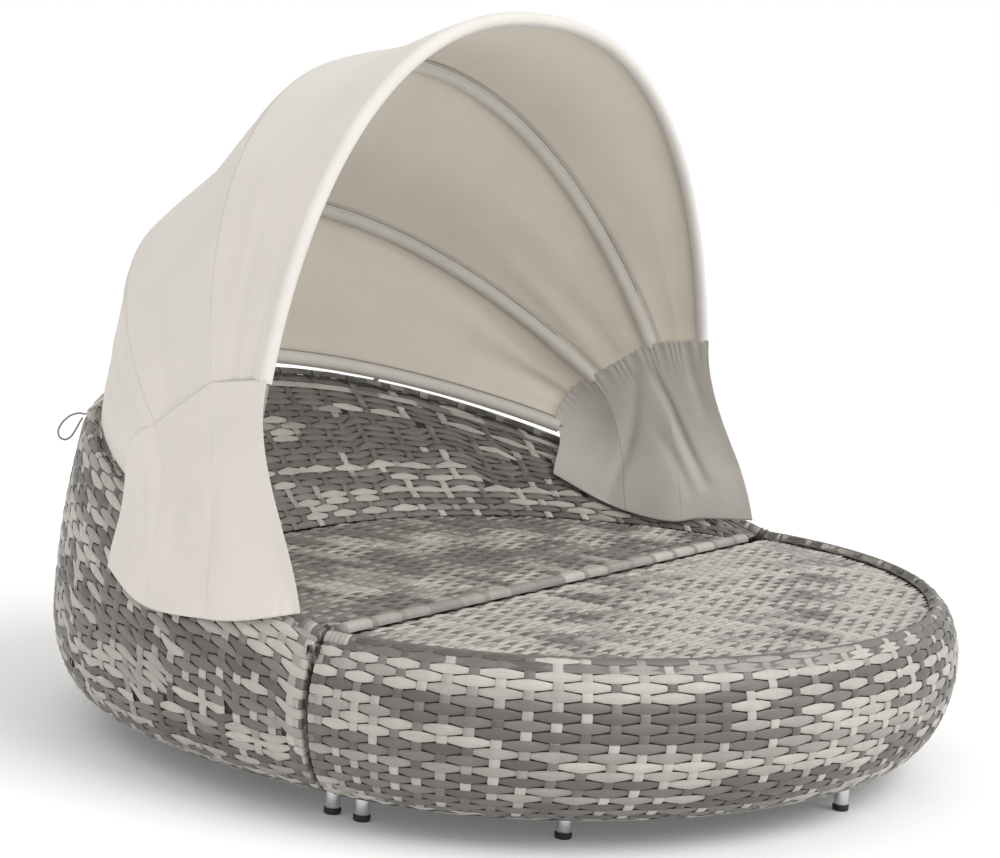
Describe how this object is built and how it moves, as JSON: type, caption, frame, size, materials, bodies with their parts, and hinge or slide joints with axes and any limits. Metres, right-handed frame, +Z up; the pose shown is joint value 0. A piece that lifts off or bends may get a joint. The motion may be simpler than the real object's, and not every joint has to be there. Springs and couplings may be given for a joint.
{
  "type": "outdoor daybed with canopy",
  "caption": "Round two-part wicker daybed, its rear part with a raised backrest and a folding cloth canopy on hinged bows, standing on short capped legs.",
  "frame": {"origin": "the floor point under the middle of the outline", "axes": "+Z up, +X to the right of someone who faces the backrest, +Y towards the backrest"},
  "size_m": [1.83, 1.78, 1.4611],
  "materials": {
    "wicker": "flat woven strands in mixed light, mid and dark grey",
    "inner_frame": "welded tube, powder coated grey",
    "leg": "bright satin tube",
    "foot_cap": "black, rounded lower edge",
    "canopy_frame": "bent tube, powder coated grey",
    "pivot_steel": "stainless",
    "washer": "black nylon",
    "canopy_cloth": "off-white woven canvas"
  },
  "bodies": {
    "rear_module": {"bow_rear": "canopy_frame", "canopy_rear_panel": "canopy_cloth", "pivot_bolt_left": "pivot_steel", "pivot_bolt_right": "pivot_steel", "pivot_bracket_left": "canopy_frame", "pivot_bracket_right": "canopy_frame", "pivot_nut_left": "pivot_steel", "pivot_nut_right": "pivot_steel", "pivot_washer_left_1": "washer", "pivot_washer_left_2": "washer", "pivot_washer_left_3": "washer", "pivot_washer_right_1": "washer", "pivot_washer_right_2": "washer", "pivot_washer_right_3": "washer", "rear_back_weave": "wicker", "rear_cap_centre": "foot_cap", "rear_cap_corner_left": "foot_cap", "rear_cap_corner_right": "foot_cap", "rear_cap_middle_left": "foot_cap", "rear_cap_middle_right": "foot_cap", "rear_frame": "inner_frame", "rear_leg_centre": "leg", "rear_leg_corner_left": "leg", "rear_leg_corner_right": "leg", "rear_leg_middle_left": "leg", "rear_leg_middle_right": "leg", "rear_outer_weave": "wicker", "rear_rim_roll": "wicker", "rear_seat_weave": "wicker", "rear_split_weave": "wicker", "side_flap_left": "canopy_cloth", "side_flap_right": "canopy_cloth", "tie_loop": "canopy_cloth", "tie_strap_left": "canopy_cloth", "tie_strap_middle": "canopy_cloth", "tie_strap_right": "canopy_cloth"},
    "front_module": {"front_cap_centre": "foot_cap", "front_cap_corner_left": "foot_cap", "front_cap_corner_right": "foot_cap", "front_cap_middle_left": "foot_cap", "front_cap_middle_right": "foot_cap", "front_frame": "inner_frame", "front_leg_centre": "leg", "front_leg_corner_left": "leg", "front_leg_corner_right": "leg", "front_leg_middle_left": "leg", "front_leg_middle_right": "leg", "front_outer_weave": "wicker", "front_rim_roll": "wicker", "front_seat_weave": "wicker", "front_split_weave": "wicker"},
    "canopy_third_bow": {"bow_third": "canopy_frame", "canopy_middle_panel": "canopy_cloth"},
    "canopy_second_bow": {"bow_second": "canopy_frame", "canopy_front_panel": "canopy_cloth"},
    "canopy_front_bow": {"bow_front": "canopy_frame"}
  },
  "joints": [
    {"name": "front_part_slide", "type": "slide", "parent": "rear_module", "child": "front_module", "axis": [0, -1, 0], "range_m": [0, 0.5]},
    {"name": "third_bow_fold", "type": "hinge", "parent": "rear_module", "child": "canopy_third_bow", "pos_m": [0, 0.05056, 0.43398], "axis": [-1, 0, 0], "range_deg": [0, 14.4], "deforming": ["canopy_rear_panel", "side_flap_left", "side_flap_right"]},
    {"name": "second_bow_fold", "type": "hinge", "parent": "canopy_third_bow", "child": "canopy_second_bow", "pos_m": [0, 0.05056, 0.43398], "axis": [-1, 0, 0], "range_deg": [0, 18.9], "deforming": ["canopy_middle_panel"]},
    {"name": "front_bow_fold", "type": "hinge", "parent": "canopy_second_bow", "child": "canopy_front_bow", "pos_m": [0, 0.05056, 0.43398], "axis": [-1, 0, 0], "range_deg": [0, 12.1], "deforming": ["canopy_front_panel"]}
  ],
  "couplings": [
    {"joint": "second_bow_fold", "follows": "third_bow_fold", "ratio": 1.3125},
    {"joint": "front_bow_fold", "follows": "third_bow_fold", "ratio": 0.84}
  ]
}
